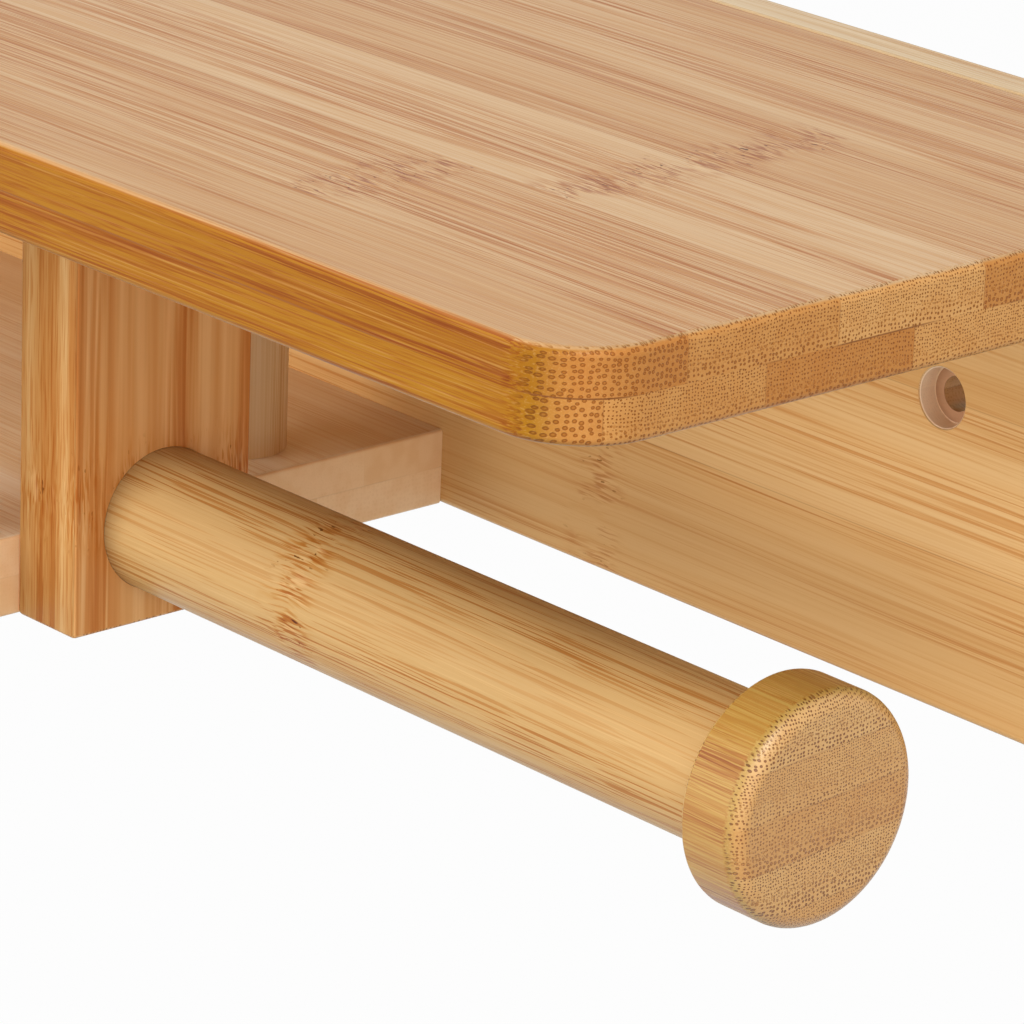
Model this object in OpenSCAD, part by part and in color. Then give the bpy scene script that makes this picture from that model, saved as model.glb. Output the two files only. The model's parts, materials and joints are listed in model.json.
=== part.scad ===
// Wall-mounted toilet paper holder with a shelf, made of laminated bamboo.
// Millimetres. +Z is up, +X is to the right of a person facing the wall, +Y goes into the wall.
// The origin is the middle of the back board's rear face, at the height of the wall screws.

/* [Boards] */
// Width of the top shelf and of the back board
shelf_w = 400; // [340:5:500]
// Depth of both shelves, from their front edge to the back board
shelf_d = 125; // [115:1:150]
// Thickness of the top shelf
top_t = 12; // [11:0.5:18]
// Thickness of the lower shelf
lower_t = 12; // [10:0.5:16]
// Height of the back board, which is the height of the whole holder
back_h = 90; // [86:1:130]
// Thickness of the back board
back_t = 8; // [7:0.5:14]
// Radius of the shelves' front corners, seen from above
corner_r = 12; // [4:1:24]
// Radius of the eased arrises of the top shelf and the back board
arris_r = 1.2; // [0.4:0.1:2]
// Radius of the eased arrises of the lower shelf and the post
fine_arris_r = 0.6; // [0.3:0.1:1.5]

/* [Roll holder] */
// Width of the open bay for the roll, from the lower shelf to the right end
bay_w = 162; // [150:1:190]
// Thickness of the post that carries the rod
post_t = 13; // [12:0.5:20]
// Width of the post, front to back
post_w = 31.5; // [28:0.5:45]
// Diameter of the rod
rod_d = 21; // [16:0.5:24]
// Depth of the rod's axis below the top of the shelf
rod_drop = 75; // [60:1:76]
// Distance of the rod's axis from the front face of the back board
rod_to_board = 64; // [58:1:72]
// Depth of the socket in the post that the rod's end sits in
rod_socket = 3; // [1:0.5:4]
// Diameter of the knob on the rod's free end
knob_d = 32; // [28:0.5:36]
// Thickness of the knob
knob_t = 10; // [9:0.5:16]
// Radius of the rounding round the knob's outer face
knob_round = 2.5; // [0.8:0.1:3.5]
// Radius of the rounding round the knob's inner face
knob_back_round = 0.5; // [0.2:0.1:1.5]
// Distance of the knob's outer face from the right end of the shelf
knob_inset = 15; // [5:1:30]

/* [Pillars] */
// Diameter of the four round pillars
pillar_d = 15; // [12:0.5:20]
// Distance of the pillars' axes from the ends of the lower shelf
pillar_in_x = 13; // [11:1:30]
// Distance of the pillars' axes from the back board and from the front edge
pillar_in_y = 29.5; // [20:0.5:40]

/* [Wall screw holes] */
// Distance of the wall screw holes from the ends of the back board
wall_hole_in = 60; // [46:1:90]
// Depth of the wall screw holes below the top of the back board
wall_hole_drop = 45; // [40:1:46]
// Diameter of the wall screw holes
wall_hole_d = 5; // [4:0.1:6]
// Diameter of the counterbore for the wall screw's head
wall_head_d = 8.5; // [7.5:0.1:12]
// Depth of the counterbore
wall_head_deep = 3; // [2:0.5:4]

/* [Screws and pins] */
// Diameter of the wood screws' shanks
screw_d = 4; // [3:0.5:5]
// Diameter of the wood screws' countersunk heads
screw_head_d = 8; // [6.5:0.1:8.8]
// Length of the screws in the shelves and the pillars
screw_l = 30; // [25:1:40]
// Length of the screw that holds the rod to the post
rod_screw_l = 40; // [30:1:60]
// Number of screws from the back board into the top shelf
top_screws = 3; // [2:1:5]
// Distance of the outer top shelf screws from the ends of the top shelf
top_screw_in = 30; // [20:1:44]
// Distance of the lower shelf screws from the ends of the lower shelf
lower_screw_in = 40; // [20:1:60]
// Depth of the screw heads below the wood
head_sink = 0.3; // [0.1:0.1:1]
// Diameter of the glued dowel pins in the post and the pillars
pin_d = 6; // [5:0.5:7]
// Length of those pins
pin_l = 20; // [16:1:26]
// How far a pin of the post or a pillar goes into its shelf's face
pin_in_top = 8; // [6:0.5:9]
// How far a pin of the post goes into the post's side
pin_in_post = 8; // [6:0.5:8.5]
// Distance between the two pins of a pair
pin_pair = 16; // [14:0.5:20]
// Diameter of the glued pin between the rod and the knob
knob_pin_d = 8; // [6:0.5:10]
// Length of that pin
knob_pin_l = 22; // [18:1:30]
// How far that pin goes into the knob
knob_pin_in = 6; // [4:0.5:7]

/* [Clearances] */
// Glue gap round a pin, a screw or the rod's end in its hole, on the radius
glue_gap = 0.05; // [0.02:0.01:0.1]
// Empty space past the end of a pin or a screw in its hole
end_gap = 0.5; // [0.2:0.1:1]

/* [Hidden] */
$fn = 64;
eps = 0.1;
right = shelf_w / 2;
left = -right;
board_front = -back_t;
shelf_front = board_front - shelf_d;
top_z = wall_hole_drop;
top_under_z = top_z - top_t;
bottom_z = top_z - back_h;
lower_top_z = bottom_z + lower_t;
pillar_h = top_under_z - lower_top_z;
lower_right = right - bay_w;
lower_w = lower_right - left;
rod_y = board_front - rod_to_board;
rod_z = top_z - rod_drop;
post_face = lower_right + post_t;
rod_start = post_face - rod_socket;
knob_back = right - knob_inset - knob_t;
rod_l = knob_back - rod_start;
pillar_front_y = shelf_front + pillar_in_y;
pillar_rear_y = board_front - pillar_in_y;
pillar_left_x = left + pillar_in_x;
pillar_right_x = lower_right - pillar_in_x;
head_h = (screw_head_d - screw_d) / 2;
tip_l = screw_d;
pin_bevel = pin_d / 12;
top_screw_z = top_z - top_t / 2;
lower_screw_z = bottom_z + lower_t / 2;
top_screw_step = (shelf_w - 2 * top_screw_in) / (top_screws - 1);
top_screw_at = [for (i = [0 : top_screws - 1]) left + top_screw_in + i * top_screw_step];
lower_screw_at = [left + lower_screw_in, lower_right - lower_screw_in];
wall_hole_at = [left + wall_hole_in, right - wall_hole_in];
post_pin_at = [rod_y - pin_pair / 2, rod_y + pin_pair / 2];
pillar_at = [
    [pillar_right_x, pillar_rear_y],
    [pillar_right_x, pillar_front_y],
    [pillar_left_x, pillar_rear_y],
    [pillar_left_x, pillar_front_y]
];

// Rectangle from the origin whose four corners are rounded
module eased_rect(w, h, r) {
    translate([r, 0]) square([w - 2 * r, h]);
    translate([0, r]) square([w, h - 2 * r]);
    for (x = [r, w - r], y = [r, h - r]) translate([x, y]) circle(r);
}

// Box from the origin with all twelve arrises eased
module eased_box(w, d, h, r) {
    intersection() {
        linear_extrude(h) eased_rect(w, d, r);
        translate([0, d, 0]) rotate([90, 0, 0]) linear_extrude(d) eased_rect(w, h, r);
        rotate([90, 0, 90]) linear_extrude(w) eased_rect(d, h, r);
    }
}

// Upright strip from the origin to x = w, eased only on its far edge
module eased_strip(w, h, r) {
    square([w - r, h]);
    translate([0, r]) square([w, h - 2 * r]);
    for (y = [r, h - r]) translate([w - r, y]) circle(r);
}

// Shelf from the origin: square at the back, round at its two front corners, eased on top and below
module shelf_board(w, d, t, r) {
    translate([corner_r, corner_r, 0]) cube([w - 2 * corner_r, d - corner_r, t]);
    translate([corner_r, d, 0]) rotate([90, 0, 180]) mirror([0, 0, 1])
        linear_extrude(d - corner_r) eased_strip(corner_r, t, r);
    translate([w - corner_r, d, 0]) rotate([90, 0, 0])
        linear_extrude(d - corner_r) eased_strip(corner_r, t, r);
    translate([w - corner_r, corner_r, 0]) rotate([90, 0, -90])
        linear_extrude(w - 2 * corner_r) eased_strip(corner_r, t, r);
    for (side = [0, 1]) translate([side ? w - corner_r : corner_r, corner_r, 0])
        rotate([0, 0, side ? -90 : 180]) rotate_extrude(angle = 90) eased_strip(corner_r, t, r);
}

// Countersunk wood screw along +Z: its head's flat is at the origin
module wood_screw(l) {
    difference() {
        union() {
            cylinder(h = head_h, d1 = screw_head_d, d2 = screw_d);
            cylinder(h = l - tip_l, d = screw_d);
            translate([0, 0, l - tip_l]) cylinder(h = tip_l, d1 = screw_d, d2 = screw_d / 8);
        }
        for (turn = [0, 90]) rotate([0, 0, turn]) translate([-screw_d / 2, -screw_d / 10, -eps])
            cube([screw_d, screw_d / 5, head_h * 0.7 + eps]);
    }
}

// Hole that the same screw fills, with the sink above its head
module screw_hole(l) {
    g = glue_gap;
    translate([0, 0, -head_sink - eps]) cylinder(h = head_sink + 2 * eps, d = screw_head_d + 2 * g);
    cylinder(h = head_h, d1 = screw_head_d + 2 * g, d2 = screw_d + 2 * g);
    cylinder(h = l + end_gap, d = screw_d + 2 * g);
}

// Dowel pin along +Z with bevelled ends
module dowel_pin(d, l) {
    b = pin_bevel;
    cylinder(h = b, d1 = d - 2 * b, d2 = d);
    translate([0, 0, b]) cylinder(h = l - 2 * b, d = d);
    translate([0, 0, l - b]) cylinder(h = b, d1 = d, d2 = d - 2 * b);
}

// Hole that the same pin fills, with room past both ends
module pin_hole(d, l) {
    translate([0, 0, -end_gap]) cylinder(h = l + 2 * end_gap, d = d + 2 * glue_gap);
}

// Places of the fasteners: each module puts its child at every place of its kind
module at_top_screws() {
    for (x = top_screw_at) translate([x, -head_sink, top_screw_z]) rotate([90, 0, 0]) children();
}
module at_lower_screws() {
    for (x = lower_screw_at) translate([x, -head_sink, lower_screw_z]) rotate([90, 0, 0]) children();
}
module at_pillar_screws() {
    for (p = pillar_at) translate([p[0], p[1], bottom_z + head_sink]) children();
}
module at_pillar_pins() {
    for (p = pillar_at) translate([p[0], p[1], top_under_z + pin_in_top - pin_l]) children();
}
module at_post_top_pins() {
    for (y = post_pin_at) translate([lower_right + post_t / 2, y, top_under_z + pin_in_top - pin_l])
        children();
}
module at_post_shelf_pins() {
    for (y = post_pin_at) translate([lower_right + pin_in_post - pin_l, y, lower_screw_z])
        rotate([0, 90, 0]) children();
}
module at_rod_screw() {
    translate([lower_right + head_sink, rod_y, rod_z]) rotate([0, 90, 0]) children();
}
module at_knob_pin() {
    translate([knob_back + knob_pin_in - knob_pin_l, rod_y, rod_z]) rotate([0, 90, 0]) children();
}

// Top shelf: the long board that hides the roll and carries a phone
module top_shelf() {
    color("#d6ae87") difference() {
        translate([left, shelf_front, top_under_z]) shelf_board(shelf_w, shelf_d, top_t, arris_r);
        at_top_screws() screw_hole(screw_l);
        at_pillar_pins() pin_hole(pin_d, pin_l);
        at_post_top_pins() pin_hole(pin_d, pin_l);
    }
}

// Back board: lies on the wall, with a counterbored hole near each end
module back_board() {
    color("#cf9f62") difference() {
        translate([left, -back_t, bottom_z]) eased_box(shelf_w, back_t, back_h, arris_r);
        for (x = wall_hole_at) translate([x, 0, 0]) rotate([90, 0, 0]) {
            translate([0, 0, -eps]) cylinder(h = back_t + 2 * eps, d = wall_hole_d);
            translate([0, 0, back_t - wall_head_deep]) cylinder(h = wall_head_deep + eps, d = wall_head_d);
        }
        at_top_screws() screw_hole(screw_l);
        at_lower_screws() screw_hole(screw_l);
    }
}

// Lower shelf: the floor of the compartment on the left
module lower_shelf() {
    color("#c8966b") difference() {
        translate([left, shelf_front, bottom_z]) shelf_board(lower_w, shelf_d, lower_t, fine_arris_r);
        at_lower_screws() screw_hole(screw_l);
        at_pillar_screws() screw_hole(screw_l);
        at_post_shelf_pins() pin_hole(pin_d, pin_l);
    }
}

// Post: stands on end against the lower shelf's right edge and carries the rod
module roll_post() {
    color("#b9783f") difference() {
        translate([lower_right, rod_y - post_w / 2, bottom_z])
            eased_box(post_t, post_w, top_under_z - bottom_z, fine_arris_r);
        translate([rod_start, rod_y, rod_z]) rotate([0, 90, 0])
            cylinder(h = rod_socket + eps, d = rod_d + 2 * glue_gap);
        at_rod_screw() screw_hole(rod_screw_l);
        at_post_shelf_pins() pin_hole(pin_d, pin_l);
        at_post_top_pins() pin_hole(pin_d, pin_l);
    }
}

// Rod: the roll hangs on it
module roll_rod() {
    color("#d9ab68") difference() {
        translate([rod_start, rod_y, rod_z]) rotate([0, 90, 0]) cylinder(h = rod_l, d = rod_d);
        at_rod_screw() screw_hole(rod_screw_l);
        at_knob_pin() pin_hole(knob_pin_d, knob_pin_l);
    }
}

// Knob: a turned disc with a rounded outer edge, narrower than a roll's core
module roll_knob() {
    r = knob_d / 2;
    color("#c8934c") difference() {
        translate([knob_back, rod_y, rod_z]) rotate([0, 90, 0]) rotate_extrude() {
            translate([0, knob_back_round]) square([r, knob_t - knob_back_round - knob_round]);
            square([r - knob_back_round, knob_t - knob_round]);
            square([r - knob_round, knob_t]);
            translate([r - knob_back_round, knob_back_round]) circle(knob_back_round);
            translate([r - knob_round, knob_t - knob_round]) circle(knob_round);
        }
        at_knob_pin() pin_hole(knob_pin_d, knob_pin_l);
    }
}

// Pillar: a round dowel between the two shelves, with a pin above and a screw below
module pillar(place) {
    color("#cfa97c") difference() {
        translate([place[0], place[1], lower_top_z]) cylinder(h = pillar_h, d = pillar_d);
        at_pillar_screws() screw_hole(screw_l);
        at_pillar_pins() pin_hole(pin_d, pin_l);
    }
}

// Steel fasteners
module top_shelf_screws() { color("#b8b8b4") at_top_screws() wood_screw(screw_l); }
module lower_shelf_screws() { color("#b8b8b4") at_lower_screws() wood_screw(screw_l); }
module pillar_screws() { color("#b8b8b4") at_pillar_screws() wood_screw(screw_l); }
module rod_screw() { color("#b8b8b4") at_rod_screw() wood_screw(rod_screw_l); }

// Glued wooden pins
module pillar_pins() { color("#dcc49c") at_pillar_pins() dowel_pin(pin_d, pin_l); }
module post_top_pins() { color("#dcc49c") at_post_top_pins() dowel_pin(pin_d, pin_l); }
module post_shelf_pins() { color("#dcc49c") at_post_shelf_pins() dowel_pin(pin_d, pin_l); }
module knob_pin() { color("#dcc49c") at_knob_pin() dowel_pin(knob_pin_d, knob_pin_l); }

top_shelf();
back_board();
lower_shelf();
roll_post();
roll_rod();
roll_knob();
pillar(pillar_at[0]);  // pillar_rear_right
pillar(pillar_at[1]);  // pillar_front_right
pillar(pillar_at[2]);  // pillar_rear_left
pillar(pillar_at[3]);  // pillar_front_left
top_shelf_screws();
lower_shelf_screws();
pillar_screws();
rod_screw();
pillar_pins();
post_top_pins();
post_shelf_pins();
knob_pin();
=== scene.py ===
"""Wall-mounted bamboo toilet paper holder with a shelf: boards, post, rod, knob, pillars, screws and pins.

Metres, +Z up, +X to the right of a person facing the wall, +Y into the wall. The origin is the middle of
the back board's rear face, at the height of the wall screws.
"""
import json
import math
from functools import partial

import bpy
from mathutils import Matrix, Quaternion, Vector


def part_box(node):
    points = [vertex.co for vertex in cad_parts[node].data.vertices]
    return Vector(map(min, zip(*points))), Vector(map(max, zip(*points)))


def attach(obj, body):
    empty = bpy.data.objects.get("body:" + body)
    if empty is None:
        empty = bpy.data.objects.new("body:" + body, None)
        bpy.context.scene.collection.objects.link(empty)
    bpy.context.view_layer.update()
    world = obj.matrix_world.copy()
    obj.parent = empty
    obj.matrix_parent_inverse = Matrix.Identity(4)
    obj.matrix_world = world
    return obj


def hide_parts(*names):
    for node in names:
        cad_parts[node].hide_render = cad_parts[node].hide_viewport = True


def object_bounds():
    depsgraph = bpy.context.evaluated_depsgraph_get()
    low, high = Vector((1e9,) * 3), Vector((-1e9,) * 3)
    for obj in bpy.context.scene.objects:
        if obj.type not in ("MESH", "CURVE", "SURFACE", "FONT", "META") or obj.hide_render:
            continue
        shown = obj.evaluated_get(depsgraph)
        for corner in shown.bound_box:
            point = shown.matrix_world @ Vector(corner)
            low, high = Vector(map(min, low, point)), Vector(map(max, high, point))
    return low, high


bl_info = {
    "name": "Bamboo roll holder",
    "version": (1, 0, 0),
    "blender": (4, 5, 0),
    "location": "3D View > Sidebar > Holder",
    "description": "Boards, rod, knob, pillars and fasteners of a bamboo toilet paper holder with a shelf",
    "category": "Add Mesh",
}

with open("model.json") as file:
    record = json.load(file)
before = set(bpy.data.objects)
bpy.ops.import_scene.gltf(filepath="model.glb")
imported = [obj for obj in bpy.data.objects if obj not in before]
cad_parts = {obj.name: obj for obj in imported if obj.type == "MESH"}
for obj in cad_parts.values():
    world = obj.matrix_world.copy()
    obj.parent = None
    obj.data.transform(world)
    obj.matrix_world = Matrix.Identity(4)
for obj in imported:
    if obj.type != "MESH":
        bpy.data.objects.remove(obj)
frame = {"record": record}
CAD_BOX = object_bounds()
MM = 0.001
MOUNTS = {mount["name"]: mount for mount in frame["record"]["mounts"]}
WALL_HOLE_MM = 2 * MOUNTS["wall_screws"]["dims"]["hole_r_mm"]
# Fasteners: how many stand along X, Y and Z, which way they point, and the head's or pin's width in mm
FASTENERS = {
    "top_shelf_screws": ((3, 1, 1), (0, -1, 0), 8),
    "lower_shelf_screws": ((2, 1, 1), (0, -1, 0), 8),
    "pillar_screws": ((2, 2, 1), (0, 0, 1), 8),
    "rod_screw": ((1, 1, 1), (1, 0, 0), 8),
    "pillar_pins": ((2, 2, 1), (0, 0, 1), 6),
    "post_top_pins": ((1, 2, 1), (0, 0, 1), 6),
    "post_shelf_pins": ((1, 2, 1), (1, 0, 0), 6),
    "knob_pin": ((1, 1, 1), (1, 0, 0), 8),
}
# Sides that stand for round in each turned form
SCREW_SIDES = 32
PIN_SIDES = 48
HOLE_SIDES = 48
WALL_HOLE_SIDES = 64
PILLAR_SIDES = 96
SOCKET_SIDES = 128
ROD_SIDES = 160
SMOOTH_ANGLE = math.radians(35)
# Sockets of a Mix node: its share, its two numbers, its two colours, and the colour that comes out
MIX_SHARE = 0
MIX_FROM = 2
MIX_TO = 3
MIX_A = 6
MIX_B = 7
MIX_COLOUR = 2
# Marks in the bamboo: length and width in mm, and the noise levels at their rim and in their middle
SOFT_BANDS = (180, 3.0, 0.35, 0.65)
CROWDS_OF_LINES = (140, 7.0, 0.38, 0.6)
HAIRS = (40, 0.32, 0.4, 0.7)
NICKS = (9.0, 0.22, 0.52, 0.64)
KNUCKLE_PATCHES = (7.0, 5.0, 0.36, 0.56)
KNUCKLE_DASHES = (5.0, 0.4, 0.48, 0.6)
KNUCKLE_FLECKS = (5.0, 0.6, 0.56, 0.68)
KNUCKLE_PITS = (1.6, 0.6, 0.7, 0.74)
WHOLE_SEAMS = (25.0, 12.0, 0.35, 0.6)
PALE_LEVELS = (0.56, 0.68)


def linear(code):
    """Linear colour, with alpha, of an sRGB hex code"""
    parts = [int(code[i:i + 2], 16) / 255 for i in (1, 3, 5)]
    return [c / 12.92 if c <= 0.04045 else ((c + 0.055) / 1.055) ** 2.4 for c in parts] + [1.0]


def colour(name, description, code):
    """Property for one colour of a finish"""
    return bpy.props.FloatVectorProperty(
        name=name, description=description, subtype="COLOR", size=4, min=0, max=1, default=linear(code))


def length(name, description, mm):
    """Property for one length, given in millimetres"""
    return bpy.props.FloatProperty(
        name=name, description=description, subtype="DISTANCE", unit="LENGTH", min=0, default=mm * MM)


def amount(name, description, value, **settings):
    """Property for one number"""
    return bpy.props.FloatProperty(name=name, description=description, default=value, **settings)


def angle(name, description, degrees):
    """Property for one angle, given in degrees"""
    return amount(name, description, math.radians(degrees), unit="ROTATION")


class HolderSizes(bpy.types.PropertyGroup):
    """Sizes of roundings, holes and fasteners that the frame's boxes don't give"""

    corner_radius: length("Corner radius", "Rounding of the shelves' front corners, seen from above", 12)
    arris_radius: length("Arris radius", "Eased arris of the top shelf and the back board", 1.2)
    fine_arris_radius: length("Fine arris radius", "Eased arris of the lower shelf and the post", 0.6)
    knob_round: length("Knob rounding", "Rounding round the knob's outer face", 2.5)
    knob_back_round: length("Knob back rounding", "Rounding round the knob's inner face", 0.5)
    wall_hole: length("Wall hole", "Diameter of the holes for the wall screws", WALL_HOLE_MM)
    wall_head: length("Wall head", "Diameter of the counterbore for a wall screw's head", 8.5)
    wall_head_deep: length("Wall head depth", "Depth of that counterbore", 3)
    wall_rim: length("Wall hole rim", "Chamfer round the mouth of the counterbore", 0.25)
    shank: length("Screw shank", "Outer diameter of the wood screws", 4)
    thread_pitch: length("Thread pitch", "Rise of the wood screws' thread in one turn", 1.8)
    thread_deep: length("Thread depth", "Height of the thread above the screw's core", 0.6)
    head_sink: length("Head sink", "Depth of the screw heads below the wood", 0.3)
    socket: length("Rod socket", "Depth of the post's socket for the rod", 3)
    glue_gap: length("Glue gap", "Gap round a pin, a screw or the rod's end in its hole", 0.05)
    end_gap: length("End gap", "Empty space past the end of a pin or a screw", 0.5)
    pin_bevel: length("Pin bevel", "Bevel on the ends of the glued pins", 0.5)
    pin_flute: length("Pin flute", "Depth of the glue flutes along a pin", 0.2)


class HolderColours(bpy.types.PropertyGroup):
    """Colours of the bamboo, the steel and the beech, before the grain is drawn on them; some grounds carry
    painted light
    """

    shelf_face: colour("Shelf face", "Top and underside of the top shelf", "#bd9e78")
    shelf_edge: colour("Shelf edge", "Front edge of the top shelf", "#9a6c14")
    shelf_end: colour("Shelf end", "End grain of the top shelf", "#d7a467")
    # Painted light: paler than the shelf's bamboo, to make up for the shade under the top shelf
    back_face_painted_light: colour("Back board face", "Front of the back board", "#e3bb82")
    back_edge: colour("Back board edge", "Top and bottom edges of the back board", "#bfa988")
    # Painted light: the end grain is paler, so that the shaded walls of the wall screw holes look lit
    back_end_painted_light: colour("Back board end", "End grain of the back board", "#e9c79a")
    # Painted light: the lower shelf's face and end are paler, to make up for the shade in the compartment
    lower_face_painted_light: colour("Lower shelf face", "Top and underside of the lower shelf", "#efdcc0")
    lower_edge: colour("Lower shelf edge", "Front edge of the lower shelf", "#a8825a")
    lower_end_painted_light: colour("Lower shelf end", "End grain of the lower shelf", "#ffd9ac")
    # Painted light: the post's broad sides are paler than its front and rear, to make up for the shade
    # under the top shelf
    post_face_painted_light: colour("Post face", "Broad sides of the post", "#fed098")
    post_edge: colour("Post edge", "Front and rear of the post", "#c6a372")
    post_end: colour("Post end", "End grain of the post", "#dcae7c")
    rod_long: colour("Rod", "Along the rod", "#b99a6a")
    rod_end: colour("Rod end", "End grain of the rod", "#cfa069")
    knob_long: colour("Knob side", "Along the knob's side", "#ac8b48")
    knob_end: colour("Knob face", "End grain on the knob's faces", "#d5a769")
    # Painted light: paler than the shelves' bamboo, to make up for the shade in the compartment
    pillar_painted_light: colour("Pillar", "Along the pillars", "#e6caa4")
    strip_tint: colour("Strip tint", "What the darkest strip keeps of the ground", "#dcbf98")
    band_tint: colour("Band tint", "What a broad soft band keeps of the ground", "#eedcc4")
    line_tint: colour("Fibre line", "What a line along the grain keeps of the ground", "#d4a678")
    dot_tint: colour("Fibre ring", "What a fibre bundle keeps of the ground on the end grain", "#b19264")
    # The edge's orange with a painted highlight, as if the eased arris caught the light from above
    pale_line: colour("Pale line", "Palest lines, and the flecks round a knuckle", "#e6bf88")
    arris: colour("Arris", "Colour that the lacquer gives an eased arris", "#b8742c")
    # Painted light: the counterbore's wall looks lit, though little light gets into the hole
    bore_wall_painted_light: colour("Bored wall", "Smooth wall of a counterbore", "#ffe6c8")
    scar_tint: colour("Knuckle dash", "What a dash in a knuckle keeps of the ground", "#c99e7c")
    # Painted shade: the counterbore's seat at the bottom of the hole is darker
    seat: colour("Bored seat", "Seat and floor of a counterbore, burnished by the bit", "#a8724a")
    node_tint: colour("Node dash", "What a dash in a round stick's node keeps of the ground", "#d09a5c")
    pit: colour("Knuckle pit", "What a pit in a knuckle keeps of the ground", "#80603c")
    glue: colour("Glue line", "Glue seams between the strips and plies", "#7d4a22")
    steel: colour("Steel", "Zinc plated steel of the screws", "#c9cacb")
    steel_haze: colour("Steel haze", "Cloudy patches in the zinc plating", "#b4b6ba")
    beech: colour("Beech", "Beech of the glued pins", "#dcc09a")
    beech_fleck: colour("Beech fleck", "Small flecks in the beech", "#b98f62")


class HolderStage(bpy.types.PropertyGroup):
    """Floor, light and camera"""

    floor_drop: amount("Floor drop", "Depth of the floor below the holder", 0.5, unit="LENGTH")
    floor_shade: colour("Floor shade", "Shade of the floor in the light that it sends up", "#abaaa8")
    floor_white: amount("Floor white", "Share of white in what the camera sees of the floor", 0.97)
    fill: amount("Fill", "Strength of the even light from all round", 0.7)
    key_power: amount("Key", "Power of the small softbox above the camera, in watts", 7.0)
    top_power: amount("Top", "Power of the softbox over the holder, in watts", 1.0)
    right_power: amount("Right", "Power of the wide softbox to the right of the camera, in watts", 6.0)
    left_power: amount("Left", "Power of the wide softbox to the left of the camera, in watts", 34.0)
    lens: amount("Lens", "Focal length in millimetres on a 36 mm sensor", 196.85)
    camera_place: bpy.props.FloatVectorProperty(
        name="Camera place", description="Where the camera stands", subtype="XYZ", unit="LENGTH",
        default=(0.63546, -0.53939, 0.23934))
    azimuth: angle("Azimuth", "Direction of view, turned from looking along +Y", 47.565)
    elevation: angle("Elevation", "Height of the camera above the horizon", 19.629)
    roll: angle("Roll", "Tilt of the camera about its own line of sight", 2.294)


def deselect_all():
    """Leaves nothing selected, as a loaded frame comes with all its nodes selected"""
    if bpy.context.object and bpy.context.object.mode != "OBJECT":
        bpy.ops.object.mode_set(mode="OBJECT")
    bpy.ops.object.select_all(action="DESELECT")


def take(piece):
    """Makes one object the only selected one and the active one"""
    deselect_all()
    piece.select_set(True)
    bpy.context.view_layer.objects.active = piece


def keep_place(name):
    """Names the active object and moves its place, turn and size into its mesh"""
    piece = bpy.context.active_object
    piece.name = name
    piece.data.name = name
    bpy.ops.object.transform_apply(location=True, rotation=True, scale=True)
    return piece


def pick(piece, kind, test):
    """Opens a piece in edit mode with those vertices, edges or faces selected whose points pass a test"""
    take(piece)
    mesh = piece.data
    bpy.ops.object.mode_set(mode="EDIT")
    bpy.ops.mesh.select_mode(type=kind)
    bpy.ops.mesh.select_all(action="DESELECT")
    bpy.ops.object.mode_set(mode="OBJECT")
    if kind == "VERT":
        for vertex in mesh.vertices:
            vertex.select = test([vertex.co])
    else:
        for item in mesh.edges if kind == "EDGE" else mesh.polygons:
            item.select = test([mesh.vertices[i].co for i in item.vertices])
    bpy.ops.object.mode_set(mode="EDIT")


def close(a, b):
    """True for two lengths that are the same to a hundredth of a millimetre"""
    return abs(a - b) < 0.01 * MM


def ease(piece, test, radius, segments, profile=0.5):
    """Rounds the edges whose points pass a test"""
    pick(piece, "EDGE", test)
    bpy.ops.mesh.bevel(
        offset=radius, segments=segments, profile=profile, affect="EDGES", clamp_overlap=False)
    bpy.ops.object.mode_set(mode="OBJECT")


def modify(piece, kind, **settings):
    """Adds a modifier with its settings and applies it"""
    modifier = piece.modifiers.new(kind.title(), kind)
    for key, value in settings.items():
        setattr(modifier, key, value)
    take(piece)
    bpy.ops.object.modifier_apply(modifier=modifier.name)


def block(name, low, high):
    """Box between two corners, to be shaped further"""
    deselect_all()
    bpy.ops.mesh.primitive_cube_add(size=1, location=(low + high) / 2, scale=high - low)
    return keep_place(name)


def turned(name, outline, sides):
    """Form turned round Z to an outline of (height, radius) points.

    It is a cone between the first two, whose upper end is extruded and scaled to each further one.
    """
    (z0, r0), (z1, r1) = outline[:2]
    deselect_all()
    bpy.ops.mesh.primitive_cone_add(
        vertices=sides, radius1=r0, radius2=r1, depth=z1 - z0, location=(0, 0, (z0 + z1) / 2))
    piece = keep_place(name)
    pick(piece, "FACE", lambda points: all(close(p.z, z1) for p in points))
    for z, r in outline[2:]:
        bpy.ops.mesh.extrude_region_move(TRANSFORM_OT_translate={"value": (0, 0, z - z1)})
        bpy.ops.transform.resize(value=(r / r1, r / r1, 1), center_override=(0, 0, z))
        z1, r1 = z, r
    bpy.ops.object.mode_set(mode="OBJECT")
    return piece


def lay(piece, at, direction=(0, 0, 1)):
    """Lays a form that was made along Z at a place and along a direction"""
    turn = Vector((0, 0, 1)).rotation_difference(Vector(direction)).to_matrix().to_4x4()
    piece.matrix_world = Matrix.Translation(at) @ turn
    take(piece)
    bpy.ops.object.transform_apply(location=True, rotation=True, scale=True)
    return piece


def twin(piece, name, shift):
    """Copy of a piece, with its own mesh, moved by a shift"""
    take(piece)
    bpy.ops.object.duplicate(linked=False)
    bpy.context.active_object.location = shift
    return keep_place(name)


def join(name, pieces):
    """Joins several pieces into one"""
    deselect_all()
    for piece in pieces:
        piece.select_set(True)
    bpy.context.view_layer.objects.active = pieces[0]
    if len(pieces) > 1:
        bpy.ops.object.join()
    return keep_place(name)


def drill(piece, cutter):
    """Cuts a hole with a cutter and removes the cutter"""
    modify(piece, "BOOLEAN", object=cutter, operation="DIFFERENCE", solver="EXACT")
    bpy.data.objects.remove(cutter)


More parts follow.
